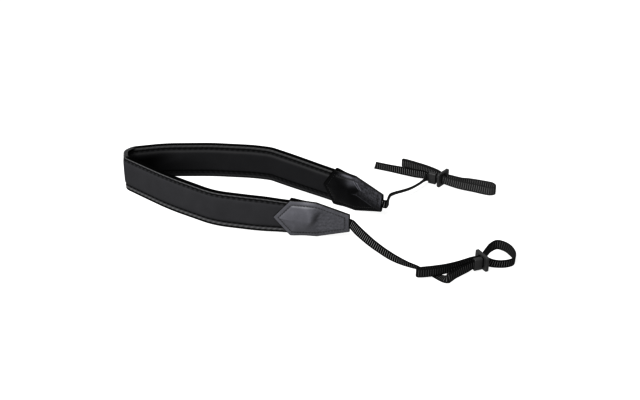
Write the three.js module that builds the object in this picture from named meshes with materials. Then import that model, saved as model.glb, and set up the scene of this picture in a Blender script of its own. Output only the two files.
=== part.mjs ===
// Binocular neck strap, laid on a table on its lower edge.
// A padded band is bent into a narrow loop. Each end is sewn into a leather tip, and from each tip
// a length of flat webbing runs through a keeper and a slide, round a lug loop and back.
// Millimetres, +Z up, X to the right along the band, Y from the front arm to the rear arm.

import * as THREE from 'three';

// Middle of the whole outline in the plan below, which becomes the origin
const PLAN_CENTRE = { x: 6.56, y: 30.69 };

// Padded band
const PAD_HEIGHT = 40;
const PAD_PARTING = 0.3; // gap between the outer cover and the lining
const PAD_END = 40; // the padding stops this far short of the narrow end of each tip

// Half section of the band: up from its middle line, out from the parting plane.
// The dip is the sewn groove, and the border beyond it is the seam allowance.
// Inside a leather tip the section thins to the tucked column and loses some of its height.
const PAD_SECTION = [
  { up: 0, out: 3.7, tucked: 3.2 },
  { up: 8, out: 3.5, tucked: 2.7 },
  { up: 14, out: 3.0, tucked: 1.8 },
  { up: 16.2, out: 2.3, tucked: 1.4 },
  { up: 17.2, out: 2.7, tucked: 1.25 },
  { up: 20, out: 2.3, tucked: 1.0 },
];
const PAD_TUCKED_HEIGHT = 0.86; // share of the band's height that is left where it ends

// Plan of the band's middle line: straight runs joined by bends, from the rear tip to the front tip.
// The lean is how far the upper edge stands behind the lower edge.
const PLAN = [
  { x: 86.1, y: 33.9, bend: 0, lean: 0 },
  { x: -39, y: 125.2, bend: 28, lean: 0.5 },
  { x: -60, y: 130.7, bend: 150, lean: 1 },
  { x: -110, y: 136.6, bend: 250, lean: 1.5 },
  { x: -165, y: 136.8, bend: 150, lean: 1 },
  { x: -205, y: 128.4, bend: 9, lean: 0 },
  { x: -204, y: 102.5, bend: 9, lean: 0 },
  { x: -150, y: 56.5, bend: 300, lean: 3.5 },
  { x: -97, y: 22, bend: 90, lean: 1.5 },
  { x: -55, y: 12, bend: 200, lean: 0 },
  { x: -30, y: 7.4, bend: 200, lean: 0 },
  { x: 50, y: -9.6, bend: 0, lean: 0 },
];
const FOLD_ROW = 5; // the tight fold of the loop lies between this row and the next
const FOLD_FLAT = 35; // length on each side of the fold whose lower edge lies on the table
const RUN_STEP = 36; // longest facet on a straight run
const BEND_STEP = 16; // largest turn of a facet in a bend, degrees

// Leather tips
const LEATHER = 1.2;
const LEATHER_GAP = 0.35; // leather to padding
const TIP_WIDTH = 43; // at the corner where the chevron starts
const TIP_SHOULDER_WIDTH = 41; // at the shoulder where the taper starts
const TIP_END_WIDTH = 20.5;
const TIP_TAPER = 36;
const TIP_STRAIGHT = 28.5;
const TIP_CORNER = TIP_TAPER + TIP_STRAIGHT;
const CHEVRON_OUTER = 18;
const CHEVRON_INNER = 13;
const CHEVRON_POINT = 1.6; // width left at the blunt point
const TIP_FLAT = 26; // from the narrow end to where the leather starts to climb onto the padding
const TIP_SEAM_GAP = 0.2; // leather to the parting plane at the sewn rim
const TIP_ROWS = [-1, -0.84, -0.6, -0.3, 0, 0.3, 0.6, 0.84, 1];
const TIP_RIM = 0.84; // the rim outside this share of the half width is pinched together
const TIP_END_RIM = 0.6; // and at the narrow end, where webbing lies between the patches
const FLAT_DEPTHS = [0, 8, 16, TIP_FLAT, 31, TIP_TAPER]; // rows of the leather short of the padding
const TUCKED_DEPTHS = [PAD_END, 48, 56, TIP_CORNER]; // rows where padding and leather lie together
const TIP_HEIGHT = TIP_WIDTH / 2; // height of the tip's middle line above the table

// Webbing
const WEB_WIDTH = 10;
const WEB = 1;
const WEB_GAP = 0.3;
const WEB_SEWN = 15; // length held inside the leather
const WEB_STEP = 6;

// Slide: a plate with two slots, standing across the strands
const SLIDE_HEIGHT = 17;
const SLIDE_ACROSS = 20.5;
const SLIDE_THICK = 3;
const SLIDE_BAR = 2.4;
const SLOT_ACROSS = 3.4;
const SLOT_HEIGHT = 10.8;
const SLIDE_CORNER = 2;
const SLOT_CORNER = 0.8;
const SLIDE_BEVEL = 0.5;

// Keeper: a short sleeve round the incoming strand and the free end
const KEEPER_LENGTH = 9;
const KEEPER_WALL = 1.4;
const KEEPER_CORNER = 1.6;
const KEEPER_HOLE_CORNER = 0.5;

// Lanes of the strands through a slide, measured across from its middle bar
const LANE_NEAR = SLIDE_BAR / 2 + WEB_GAP + WEB / 2;
const LANE_FAR = LANE_NEAR + WEB + WEB_GAP;
const KEEPER_LANE = (WEB + WEB_GAP) / 2; // from the keeper's middle
const FOLD_LEAD = 2.5; // straight length of a strand past the slide on the fold's side
const LOOP_LEAD = 1; // and on the lug loop's side
const KEEPER_LEAD = 1.2; // and past the keeper on the tip's side
const LANE_INSET = 1; // from each end of a straight stretch to the point that holds it straight

// Strand height where it passes through a slide
const LANE_Z = SLIDE_HEIGHT / 2;

// The two ends of the strap. Each slide and keeper has its place and its heading towards the lug loop
// in degrees. Routes are rows of x, y, z and lean: the lean turns the webbing about its own run,
// from standing on edge at 0 to lying flat at 90.
const ENDS = {
  front: {
    slide: { x: 185.5, y: -63.5, heading: 28 },
    keeper: { x: 180.2, y: -68.3, heading: 20 },
    lean: 180,
    incoming: [
      [52.2, -11.6, 21, -12],
      [58, -21, 19.4, -18],
      [65.1, -30.4, 17, -12],
      [72.7, -38.1, 14, -2],
      [80.4, -44.6, 11, 7],
      [88.9, -51.2, 8.2, 16],
      [98.4, -57.6, 6, 25],
      [109.9, -63.5, 4.5, 37],
      [118.5, -67.2, 3.9, 47],
      [126, -70.6, 2.7, 66],
      [131.5, -73.6, 1.5, 82],
      [136.5, -77, 0.95, 90],
      [140.5, -80.4, 0.95, 92],
      [144, -84.4, 1.9, 104],
      [147, -87.9, 3.75, 130],
      [149.6, -89.2, 5, 158],
      [152.5, -87.6, 5.4, 174],
      [156, -84, 5.9, 180],
      [162.5, -78.6, 6.7, 180],
      [169.5, -74.2, 7.7, 180],
    ],
    loop: [
      [194.4, -64.6, 7.1, 188],
      [202, -64.2, 5.9, 200],
      [210.5, -62.5, 5.3, 198],
      [217.3, -58.3, 5.8, 188],
      [221, -51, 6, 180],
      [218.8, -41.2, 6.8, 180],
      [213, -34.4, 7.6, 180],
      [205.3, -30.9, 8, 180],
      [197.4, -36.9, 8, 185],
      [192, -45.4, 8, 190],
      [187.8, -53.4, 8, 187],
    ],
    fold: [
      [173.2, -65, 8, 180],
      [166, -67.9, 8, 180],
      [158, -71.2, 7.9, 176],
      [146, -75.6, 7.8, 171],
      [132, -79.6, 7.7, 171],
      [121.2, -82.1, 7.7, 175],
      [118, -82.6, 7.7, 178],
      [116.8, -83.7, 7.7, 180],
      [118, -84.8, 7.7, 182],
      [121.2, -84.8, 7.7, 185],
      [133, -82.8, 7.7, 189],
      [142, -79.8, 7.8, 189],
      [149, -77, 7.8, 187],
      [158.5, -72.9, 7.9, 184],
      [166.5, -69.5, 8, 180],
      [173.8, -66.5, 8, 180],
    ],
    free: [
      [167, -73.3, 7.9, 180],
      [158.5, -77.6, 7.7, 180],
      [150, -81.6, 7.5, 180],
    ],
  },
  rear: {
    slide: { x: 162.3, y: 113.8, heading: -36 },
    keeper: { x: 151.3, y: 117.6, heading: -28 },
    lean: 0,
    incoming: [
      [88.1, 32.4, 21.2, 0],
      [89.8, 31.9, 20.7, 6],
      [91, 34.5, 20.1, 11],
      [92.6, 41.6, 19.3, 9],
      [95.3, 52, 18, 20],
      [99.8, 61, 16.4, 40],
      [106.9, 70.8, 13.6, 50],
      [115.6, 80.6, 10.7, 51],
      [123.1, 88.4, 9.1, 46],
      [132, 98.9, 8.2, 42],
      [138.6, 108, 8, 35],
      [141.6, 115, 8, 14],
      [143.2, 118.2, 8, 3],
      [144.6, 119.6, 8, 0],
    ],
    loop: [
      [172, 104.6, 7.6, 0],
      [181.1, 100.2, 7.1, 0],
      [197.9, 94.4, 6.2, 0],
      [207.4, 90.2, 5.9, 0],
      [214.2, 87.7, 5.8, 0],
      [219.3, 88.9, 5.8, 0],
      [220.4, 93.2, 5.8, 0],
      [217.8, 97.6, 5.9, 0],
      [212.5, 99.4, 6, 0],
      [203, 102.2, 6.4, 0],
      [192.9, 105.2, 6.7, -14],
      [184, 108, 7, -30],
    ],
    fold: [
      [156.5, 123, 8, 0],
      [150, 130, 8, 0],
      [143, 137.2, 8, 0],
      [134, 144.4, 8, 0],
      [126, 150, 8, 0],
      [121.4, 152.8, 8, 0],
      [119, 153.4, 8, 0],
      [118.4, 152.2, 8, 0],
      [120.2, 150.9, 8, 0],
      [125, 148.3, 8, 0],
      [133, 142.7, 8, 0],
      [141.8, 135.6, 8, 0],
      [148.7, 128.5, 8, 0],
      [154.7, 122, 8, 0],
    ],
    free: [
      [141, 123.2, 7.9, -2],
      [130.5, 128.3, 7.4, -5],
      [119.5, 133.6, 6.9, -8],
      [102.1, 142.1, 6.2, -15],
      [84.8, 150.9, 5.6, -22],
    ],
  },
};

const COVER = new THREE.MeshStandardMaterial({ color: 0x2f2f32, roughness: 0.85, metalness: 0 });
const LINING = new THREE.MeshStandardMaterial({ color: 0x1c1c1d, roughness: 0.9, metalness: 0 });
const HIDE = new THREE.MeshStandardMaterial({ color: 0x3b3b40, roughness: 0.5, metalness: 0 });
const NYLON = new THREE.MeshStandardMaterial({ color: 0x161616, roughness: 0.8, metalness: 0 });
const PLASTIC = new THREE.MeshStandardMaterial({ color: 0x2a2a2b, roughness: 0.55, metalness: 0 });

const radians = THREE.MathUtils.degToRad;
const smooth = THREE.MathUtils.smoothstep;

// Straight runs and bends of the band's middle line, each with its length and where it starts
function planPieces() {
  const points = PLAN.map((row) => new THREE.Vector2(row.x, row.y));
  const pieces = [];
  let length = 0;
  let from = points[0];
  const push = (piece) => {
    pieces.push({ ...piece, start: length });
    length += piece.length;
  };
  for (let k = 1; k < points.length; k++) {
    const heading = points[k].clone().sub(points[k - 1]).angle();
    const last = k === points.length - 1;
    const next = last ? heading : points[k + 1].clone().sub(points[k]).angle();
    const turn = Math.atan2(Math.sin(next - heading), Math.cos(next - heading));
    const cut = PLAN[k].bend * Math.tan(Math.abs(turn) / 2);
    const run = points[k].distanceTo(from) - cut;
    push({ at: from, heading, turn: 0, length: run });
    if (last) break;
    const bendStart = from.clone().add(new THREE.Vector2(run, 0).rotateAround(new THREE.Vector2(), heading));
    push({ at: bendStart, heading, turn, length: PLAN[k].bend * Math.abs(turn), row: k });
    from = points[k].clone().add(new THREE.Vector2(cut, 0).rotateAround(new THREE.Vector2(), next));
  }
  return { pieces, length };
}

const BAND = planPieces();
const foldPiece = BAND.pieces.find((piece) => piece.row === FOLD_ROW);
const foldEnd = BAND.pieces.find((piece) => piece.row === FOLD_ROW + 1);
const FOLD_MIDDLE = (foldPiece.start + foldEnd.start + foldEnd.length) / 2;
const bendMiddles = BAND.pieces.filter((one) => one.row).map((one) => one.start + one.length / 2);
const LEAN_ROWS = [0, ...bendMiddles, BAND.length].map((s, k) => ({ s, lean: PLAN[k].lean }));

// Place and heading on the band's middle line at distance s from the rear tip
function bandAt(s) {
  const piece = BAND.pieces.findLast((one) => one.start <= s) ?? BAND.pieces[0];
  const along = s - piece.start;
  if (piece.turn === 0) {
    const x = piece.at.x + along * Math.cos(piece.heading);
    const y = piece.at.y + along * Math.sin(piece.heading);
    return { x, y, heading: piece.heading };
  }
  const radius = piece.length / piece.turn;
  const heading = piece.heading + along / radius;
  const x = piece.at.x + radius * (Math.sin(heading) - Math.sin(piece.heading));
  const y = piece.at.y - radius * (Math.cos(heading) - Math.cos(piece.heading));
  return { x, y, heading };
}

// How far the upper edge stands behind the lower edge at distance s
function bandLean(s) {
  const k = Math.max(1, LEAN_ROWS.findIndex((row) => row.s >= s));
  const [a, b] = [LEAN_ROWS[k - 1], LEAN_ROWS[k]];
  return THREE.MathUtils.mapLinear(s, a.s, b.s, a.lean, b.lean);
}

// Point of the band at distance s, out from its middle line (to the right of its run) and at height z
function bandPoint(s, out, z) {
  const { x, y, heading } = bandAt(s);
  const behind = (bandLean(s) * z) / PAD_HEIGHT;
  return new THREE.Vector3(x + out * Math.sin(heading), y - out * Math.cos(heading) + behind, z);
}

// Height of the band's middle line: the fold stands on the table, and the tips lift the rest a little
function bandHeight(s) {
  const armEnd = s < FOLD_MIDDLE ? TIP_CORNER : BAND.length - TIP_CORNER;
  const share = (Math.abs(s - FOLD_MIDDLE) - FOLD_FLAT) / (Math.abs(armEnd - FOLD_MIDDLE) - FOLD_FLAT);
  const rest = PAD_HEIGHT / 2;
  return rest + (TIP_HEIGHT - rest) * THREE.MathUtils.clamp(share, 0, 1);
}

// Distances along the band at which it has a row of vertices
function bandStations(from, to) {
  const stations = new Set([FOLD_MIDDLE - FOLD_FLAT, FOLD_MIDDLE + FOLD_FLAT]);
  for (const depth of TUCKED_DEPTHS) stations.add(depth).add(BAND.length - depth);
  for (const piece of BAND.pieces) {
    const turned = THREE.MathUtils.radToDeg(Math.abs(piece.turn));
    const steps = Math.max(1, Math.ceil(piece.turn === 0 ? piece.length / RUN_STEP : turned / BEND_STEP));
    for (let k = 0; k < steps; k++) stations.add(piece.start + (piece.length * k) / steps);
  }
  return [...stations].filter((s) => s >= from && s <= to).sort((a, b) => a - b);
}

// Share of the full section that the band has at depth d from the narrow end of a tip
function padFullness(d) {
  return smooth(d, PAD_END, TIP_CORNER);
}

// Half thickness of the band at a height in its section, thinned where it is tucked into a tip
function padOut(up, fullness) {
  const height = Math.min(Math.abs(up), PAD_HEIGHT / 2);
  const k = PAD_SECTION.findIndex((row, i) => i > 0 && row.up >= height);
  const [a, b] = [PAD_SECTION[k - 1], PAD_SECTION[k]];
  const full = THREE.MathUtils.mapLinear(height, a.up, b.up, a.out, b.out);
  const tucked = THREE.MathUtils.mapLinear(height, a.up, b.up, a.tucked, b.tucked);
  return THREE.MathUtils.lerp(tucked, full, fullness);
}

// Share of the band's height that is left at a fullness
function padTuck(fullness) {
  return THREE.MathUtils.lerp(PAD_TUCKED_HEIGHT, 1, fullness);
}

// Closed slab with a grid of vertices on its two faces: place(i, j, far) gives each one's point.
// The run of i, the run of j and the way from the near face to the far face make a right hand.
function slab(along, across, place) {
  const geometry = new THREE.BoxGeometry(1, 1, 1, along, across, 1);
  const position = geometry.attributes.position;
  for (let v = 0; v < position.count; v++) {
    const i = Math.round((position.getX(v) + 0.5) * along);
    const j = Math.round((position.getY(v) + 0.5) * across);
    const point = place(i, j, position.getZ(v) > 0);
    position.setXYZ(v, point.x, point.y, point.z);
  }
  geometry.computeVertexNormals();
  return geometry;
}

// One half of the padding: side 1 is the outer cover, side -1 the lining
function padHalf(side) {
  const stations = bandStations(PAD_END, BAND.length - PAD_END);
  const mirrored = PAD_SECTION.slice(1).reverse().map((row) => -row.up);
  const rows = [...mirrored, ...PAD_SECTION.map((row) => row.up)];
  const steps = stations.length - 1;
  return slab(steps, rows.length - 1, (i, j, far) => {
    const s = stations[side > 0 ? i : steps - i];
    const fullness = padFullness(Math.min(s, BAND.length - s));
    const out = far ? padOut(rows[j], fullness) : PAD_PARTING / 2;
    return bandPoint(s, side * out, bandHeight(s) + rows[j] * padTuck(fullness));
  });
}

// Half width of a leather tip at distance d from its narrow end
function tipHalfWidth(d, chevron) {
  const [end, shoulder, corner] = [TIP_END_WIDTH / 2, TIP_SHOULDER_WIDTH / 2, TIP_WIDTH / 2];
  if (d <= TIP_TAPER) return THREE.MathUtils.mapLinear(d, 0, TIP_TAPER, end, shoulder);
  if (d <= TIP_CORNER) return THREE.MathUtils.mapLinear(d, TIP_TAPER, TIP_CORNER, shoulder, corner);
  return THREE.MathUtils.mapLinear(d, TIP_CORNER, TIP_CORNER + chevron, corner, CHEVRON_POINT / 2);
}

// How far the leather's inner face stands off the parting plane, at a share of its half width
function tipOut(d, share, halfWidth) {
  const fullness = padFullness(d);
  const flatRim = smooth(Math.abs(share), TIP_END_RIM, 1);
  const flat = THREE.MathUtils.lerp(WEB / 2 + WEB_GAP, TIP_SEAM_GAP, flatRim);
  const onPad = padOut((share * halfWidth) / padTuck(fullness), fullness) + LEATHER_GAP;
  const climbed = THREE.MathUtils.lerp(flat, onPad, smooth(d, TIP_FLAT, PAD_END - WEB_GAP));
  const pinch = smooth(Math.abs(share), TIP_RIM, 1) * (1 - smooth(d, PAD_END, TIP_CORNER - LEATHER));
  return THREE.MathUtils.lerp(climbed, TIP_SEAM_GAP, pinch);
}

// One leather patch, on the outer (side 1) or inner (side -1) face of the tip at the rear or front end
function tipPatch(end, side) {
  const chevron = side > 0 ? CHEVRON_OUTER : CHEVRON_INNER;
  const depths = [...FLAT_DEPTHS, ...TUCKED_DEPTHS];
  for (const share of [1 / 3, 2 / 3, 1]) depths.push(TIP_CORNER + chevron * share);
  const steps = depths.length - 1;
  const runsWithBand = end === 'rear';
  const forward = runsWithBand === side > 0;
  return slab(steps, TIP_ROWS.length - 1, (i, j, far) => {
    const d = depths[forward ? i : steps - i];
    const halfWidth = tipHalfWidth(d, chevron);
    const out = tipOut(d, TIP_ROWS[j], halfWidth) + (far ? LEATHER : 0);
    const s = runsWithBand ? d : BAND.length - d;
    return bandPoint(s, side * out, TIP_HEIGHT + TIP_ROWS[j] * halfWidth);
  });
}

// Plan place in a slide's or keeper's own measures: along towards the lug loop, across towards the rear
function holderPlace(holder, along, across) {
  const heading = radians(holder.heading);
  const x = holder.x + along * Math.cos(heading) - across * Math.sin(heading);
  const y = holder.y + along * Math.sin(heading) + across * Math.cos(heading);
  return { x, y };
}

// Straight strand through a slide or keeper, with a point inside each end to hold it straight
function lane(holder, across, from, to, lean) {
  const inset = Math.sign(to - from) * LANE_INSET;
  return [from, from + inset, to - inset, to].map((along) => {
    const { x, y } = holderPlace(holder, along, across);
    return [x, y, LANE_Z, lean];
  });
}

// Half turn of the strand round the middle bar, on the lug loop's side
function barTurn(slide, lean) {
  return [60, 30, 0, -30, -60].map((angle) => {
    const along = SLIDE_THICK / 2 + LANE_NEAR * Math.cos(radians(angle));
    const { x, y } = holderPlace(slide, along, LANE_NEAR * Math.sin(radians(angle)));
    return [x, y, LANE_Z, lean];
  });
}

// Whole route of one webbing, from inside the leather to its cut end
function webbingRoute(name) {
  const { slide, keeper, lean, incoming, loop, fold, free } = ENDS[name];
  const face = SLIDE_THICK / 2;
  const sleeve = KEEPER_LENGTH / 2;
  const sewn = [WEB_SEWN, WEB_SEWN / 2, 0].map((d) => {
    const point = bandPoint(name === 'rear' ? d : BAND.length - d, 0, TIP_HEIGHT);
    return [point.x, point.y, point.z, 0];
  });
  return [
    ...sewn,
    ...incoming,
    ...lane(keeper, -KEEPER_LANE, -sleeve - KEEPER_LEAD, sleeve, lean),
    ...lane(slide, -LANE_FAR, -face, face + LOOP_LEAD, lean),
    ...loop,
    ...lane(slide, LANE_FAR, face + LOOP_LEAD, -face - FOLD_LEAD, lean),
    ...fold,
    ...lane(slide, LANE_NEAR, -face - FOLD_LEAD, face, lean),
    ...barTurn(slide, lean),
    ...lane(slide, -LANE_NEAR, face, -face, lean),
    ...lane(keeper, KEEPER_LANE, sleeve, -sleeve - KEEPER_LEAD, lean),
    ...free,
  ];
}

// Flat webbing swept along a route, turned about its run by the lean
function webbing(name) {
  const route = webbingRoute(name);
  const points = route.map(([x, y, z]) => new THREE.Vector3(x, y, z));
  const curve = new THREE.CatmullRomCurve3(points, false, 'centripetal');
  const frames = [];
  for (let k = 0; k < points.length - 1; k++) {
    const steps = Math.ceil(points[k].distanceTo(points[k + 1]) / WEB_STEP);
    for (let i = 0; i < steps; i++) frames.push(webFrame(curve, route, k + i / steps));
  }
  frames.push(webFrame(curve, route, points.length - 1));
  return slab(frames.length - 1, 1, (i, j, far) => {
    const { at, up, face } = frames[i];
    const point = at.clone().addScaledVector(up, (j - 0.5) * WEB_WIDTH);
    return point.addScaledVector(face, (far ? 0.5 : -0.5) * WEB);
  });
}

// Place of the webbing at a row of its route (or between two rows), with its width and face directions
function webFrame(curve, route, row) {
  const share = row / (route.length - 1);
  const k = Math.min(Math.floor(row), route.length - 2);
  const lean = THREE.MathUtils.lerp(route[k][3], route[k + 1][3], row - k);
  const run = curve.getTangent(share);
  const up = new THREE.Vector3(0, 0, 1).projectOnPlane(run).normalize().applyAxisAngle(run, radians(lean));
  return { at: curve.getPoint(share), up, face: run.clone().cross(up) };
}

// Rounded rectangle, centred, as an outline or as a hole
function roundedRectangle(path, middle, width, height, corner) {
  const [left, right] = [middle - width / 2, middle + width / 2];
  const [low, high] = [-height / 2, height / 2];
  path.moveTo(left + corner, low);
  path.lineTo(right - corner, low);
  path.absarc(right - corner, low + corner, corner, -Math.PI / 2, 0);
  path.absarc(right - corner, high - corner, corner, 0, Math.PI / 2);
  path.absarc(left + corner, high - corner, corner, Math.PI / 2, Math.PI);
  path.absarc(left + corner, low + corner, corner, Math.PI, Math.PI * 1.5);
  return path;
}

// Extrusion along the strands: the shape's x is across towards the front, its y is up
function acrossStrands(shape, length, bevel) {
  const options = { depth: length - 2 * bevel, curveSegments: 3, bevelEnabled: bevel > 0 };
  const rounding = { bevelSize: bevel, bevelOffset: -bevel, bevelThickness: bevel, bevelSegments: 1 };
  const geometry = new THREE.ExtrudeGeometry(shape, { ...options, ...rounding });
  geometry.translate(0, 0, -(length - 2 * bevel) / 2);
  return geometry.rotateX(Math.PI / 2).rotateZ(Math.PI / 2);
}

function slidePlate() {
  const shape = roundedRectangle(new THREE.Shape(), 0, SLIDE_ACROSS, SLIDE_HEIGHT, SLIDE_CORNER);
  const slotMiddle = (SLIDE_BAR + SLOT_ACROSS) / 2;
  for (const middle of [-slotMiddle, slotMiddle]) {
    shape.holes.push(roundedRectangle(new THREE.Path(), middle, SLOT_ACROSS, SLOT_HEIGHT, SLOT_CORNER));
  }
  return acrossStrands(shape, SLIDE_THICK, SLIDE_BEVEL);
}

function keeperSleeve() {
  const hole = 2 * (KEEPER_LANE + WEB / 2 + WEB_GAP);
  const across = hole + 2 * KEEPER_WALL;
  const shape = roundedRectangle(new THREE.Shape(), 0, across, SLOT_HEIGHT + 2 * KEEPER_WALL, KEEPER_CORNER);
  shape.holes.push(roundedRectangle(new THREE.Path(), 0, hole, SLOT_HEIGHT, KEEPER_HOLE_CORNER));
  return acrossStrands(shape, KEEPER_LENGTH, 0);
}

function piece(name, geometry, material) {
  const mesh = new THREE.Mesh(geometry, material);
  mesh.name = name;
  return mesh;
}

// Puts a piece at its holder's place and heading
function seat(mesh, holder) {
  mesh.position.set(holder.x, holder.y, LANE_Z);
  mesh.rotation.z = radians(holder.heading);
  return mesh;
}

const strap = new THREE.Group();
strap.position.set(-PLAN_CENTRE.x, -PLAN_CENTRE.y, 0);
strap.add(piece('pad_outer', padHalf(1), COVER));
strap.add(piece('pad_inner', padHalf(-1), LINING));
for (const end of ['front', 'rear']) {
  const { slide, keeper } = ENDS[end];
  strap.add(piece(`leather_${end}_outer`, tipPatch(end, 1), HIDE));
  strap.add(piece(`leather_${end}_inner`, tipPatch(end, -1), HIDE));
  strap.add(piece(`webbing_${end}`, webbing(end), NYLON));
  strap.add(seat(piece(`slide_${end}`, slidePlate(), PLASTIC), slide));
  strap.add(seat(piece(`keeper_${end}`, keeperSleeve(), PLASTIC), keeper));
}

export default strap;
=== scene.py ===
"""Looks of a binocular neck strap, laid on a table on its lower edge.

A padded band is bent into a narrow loop and ends in two leather tips. From each tip ribbed webbing runs
through a keeper and a slide, round a lug loop and back. Sizes are millimetres in the plan of the band,
and placed() turns them into metres in the model's frame. Tuples that go to smooth(), fade() or
plateau() list where their steps start and end.
"""

import math
from collections import namedtuple

import bmesh
import bpy
import numpy as np
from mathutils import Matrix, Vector
from mathutils.geometry import tessellate_polygon


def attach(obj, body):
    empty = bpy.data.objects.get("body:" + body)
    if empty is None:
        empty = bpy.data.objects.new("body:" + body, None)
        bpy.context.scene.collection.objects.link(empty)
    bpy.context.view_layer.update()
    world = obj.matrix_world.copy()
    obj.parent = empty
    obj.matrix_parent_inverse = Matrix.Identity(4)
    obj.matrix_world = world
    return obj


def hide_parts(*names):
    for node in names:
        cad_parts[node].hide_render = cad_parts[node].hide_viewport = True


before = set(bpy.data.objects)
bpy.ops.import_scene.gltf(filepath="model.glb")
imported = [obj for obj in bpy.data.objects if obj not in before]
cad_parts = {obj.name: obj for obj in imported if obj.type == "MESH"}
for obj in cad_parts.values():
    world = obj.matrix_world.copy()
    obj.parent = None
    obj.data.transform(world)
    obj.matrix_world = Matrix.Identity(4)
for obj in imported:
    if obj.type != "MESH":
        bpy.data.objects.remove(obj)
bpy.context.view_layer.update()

BODY = "root"
MM = 0.001
PLAN_CENTRE = np.array([6.56, 30.69, 0.0])  # middle of the outline in the plan

# Camera and stage, in metres and degrees
CAMERA_PLACE = (0.01184, -1.01153, 0.61065)
CAMERA_TILT = 60
CAMERA_LENS = 60
SENSOR_WIDTH = 36
CONTRAST_GAMMA = 0.6  # deepens the dark tones, as in a product photograph
FLOOR_HALF = 8
FLOOR_HEIGHT = -0.0003  # just under the band's lowest puckers
SOFTBOX_PLACE = (-0.7, -0.8, 1.3)
SOFTBOX_SIZE = 1
SOFTBOX_POWER = 80

# Middle line of the band: straight runs joined by bends, from the rear tip to the front tip.
# The lean is how far the upper edge stands behind the lower edge.
Corner = namedtuple("Corner", "x y bend lean")
PLAN = [
    Corner(86.8, 32.2, 0, 0.6),
    Corner(35, 71.9, 60, 0.9),
    Corner(-39, 125.2, 28, 0.5),
    Corner(-60, 130.7, 150, 1),
    Corner(-110, 136.2, 250, 1.5),
    Corner(-165, 136.2, 150, 1),
    Corner(-207.8, 127.4, 13.5, 0),
    Corner(-205, 103.4, 11, 4.1),
    Corner(-150, 56.5, 300, 4.4),
    Corner(-97, 22, 90, 1.6),
    Corner(-55, 12, 200, 0.9),
    Corner(-30, 7.4, 200, 0.2),
    Corner(50, -9.6, 0, 0),
]
FOLD_ROW = 6  # the tight fold of the loop lies between this row and the next
FOLD_FLAT = 35  # length on each side of the fold whose lower edge lies on the table

# Padded band: face of one half in section, up from the middle line and out from the parting plane.
# The rows round the sewn groove are measured from it, and those of the edge from its rim.
Section = namedtuple("Section", "up out")
PAD_MIDDLE = Section(0, 3.65)
GROOVE_FACE = [
    Section(-8, 3.6),
    Section(-4, 3.5),
    Section(-2.2, 3.2),
    Section(-1, 2.6),
    Section(-0.4, 2.05),
    Section(0, 1.8),
    Section(0.4, 2),
    Section(1.1, 2.5),
    Section(2, 2.8),
]
EDGE_FACE = [
    Section(-0.9, 2.75),
    Section(-0.3, 2.55),
    Section(0, 2.2),
    Section(0, 0.15),
]
# Trim of the band's two faces along each edge: height of the sewn groove and reach of its painted shade,
# heights where the border's painted light and the black edge start and of the rim, strength of the painted
# light, depth of the puckers in it, and painted sheen of the cloth where it swells inside the groove
Trim = namedtuple("Trim", "groove reach border edge rim light pucker shine")
TRIMS = {
    "outer": {
        "upper": Trim(16.9, 1.8, 18.8, 20.1, 20.8, 0.85, 0.1, 0),
        "lower": Trim(14.2, 1.1, 15.4, 17.8, 20, 0.85, 0.16, 0),
    },
    "inner": {
        "upper": Trim(15.9, 1.6, 17.8, 20.2, 20.5, 1, 0.06, 0.5),
        "lower": Trim(13.8, 2.6, 16.6, 18.3, 20.2, 0.35, 0.1, 0),
    },
}
# Share of the border's painted light that rolls over onto the rim at the fold
RIM_LIGHT = {"outer": 0.4, "inner": 0.9}  # the border rolls over onto the rim at the fold
# The same face without its groove, as the leather lies over it, full and where it is tucked in
Crown = namedtuple("Crown", "up full tucked")
PAD_CROWN = [
    Crown(0, 3.7, 3.2),
    Crown(8, 3.5, 2.7),
    Crown(14, 3.1, 1.8),
    Crown(17.2, 2.85, 1.25),
    Crown(20, 2.5, 1.0),
    Crown(22, 2.2, 0.8),
]
PAD_HEIGHT = 40
PAD_PARTING = 0.3
PAD_END = 44  # the padding stops this far short of the narrow end of each tip
PAD_TUCKED_HEIGHT = 0.86
PAD_WAIST = 0.065  # the band narrows by this share towards each tip
PAD_WAIST_REACH = {"front": 36, "rear": 75}
PAD_STEP = 0.8
PAD_FACE_STEPS = 3
PAD_BACK_ROWS = 5
PAD_PITCH = 6.3
PAD_STITCH = 4.4
PUCKER_SLANT = 0.9
PUCKER_FADE = 1
FOAM_WAVE = 0.12  # unevenness of the foam in the middle of the face
FOAM_WAVELENGTH = 46
FOAM_SEED = 0.4
FOAM_FADE = (8, 14)
# Painted shade, light and sheen of the band, and its black edge
TRIM_FADE = 0.35
# Painted shade where the puckers dip, for each unit of their depth
PUCKER_SHADE = 1.8
SHEEN_WIDTH = 1.6
# The groove's dark is painted shade, with painted shadow beside each stitch
GROOVE_FADE = (-0.5, 0.4)  # round the start of the groove's dark
GROOVE_END = 0.6  # the dark ends within this distance of the border
GROOVE_SHADE = 0.75
GROOVE_STITCH_SHADOW = 0.25  # added beside each stitch and taken off between stitches
FOLD_EASE = 8  # the rolled rim at the fold fades in and out over this length
FOLD_OVERRUN = 2
RIM_STRIP = 0.15
RIM_OUT = (1.9, 2.5)
# Painted shade, nearly black, in the depth of the fold: its share, and where it fades along the band and up
# it
FoldShade = namedtuple("FoldShade", "share along up")
FOLD_PAINTED_SHADES = [
    FoldShade(0.85, (20, 130), (-6, 11)),
    FoldShade(0.95, (30, 75), (5, 17)),
]

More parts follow.
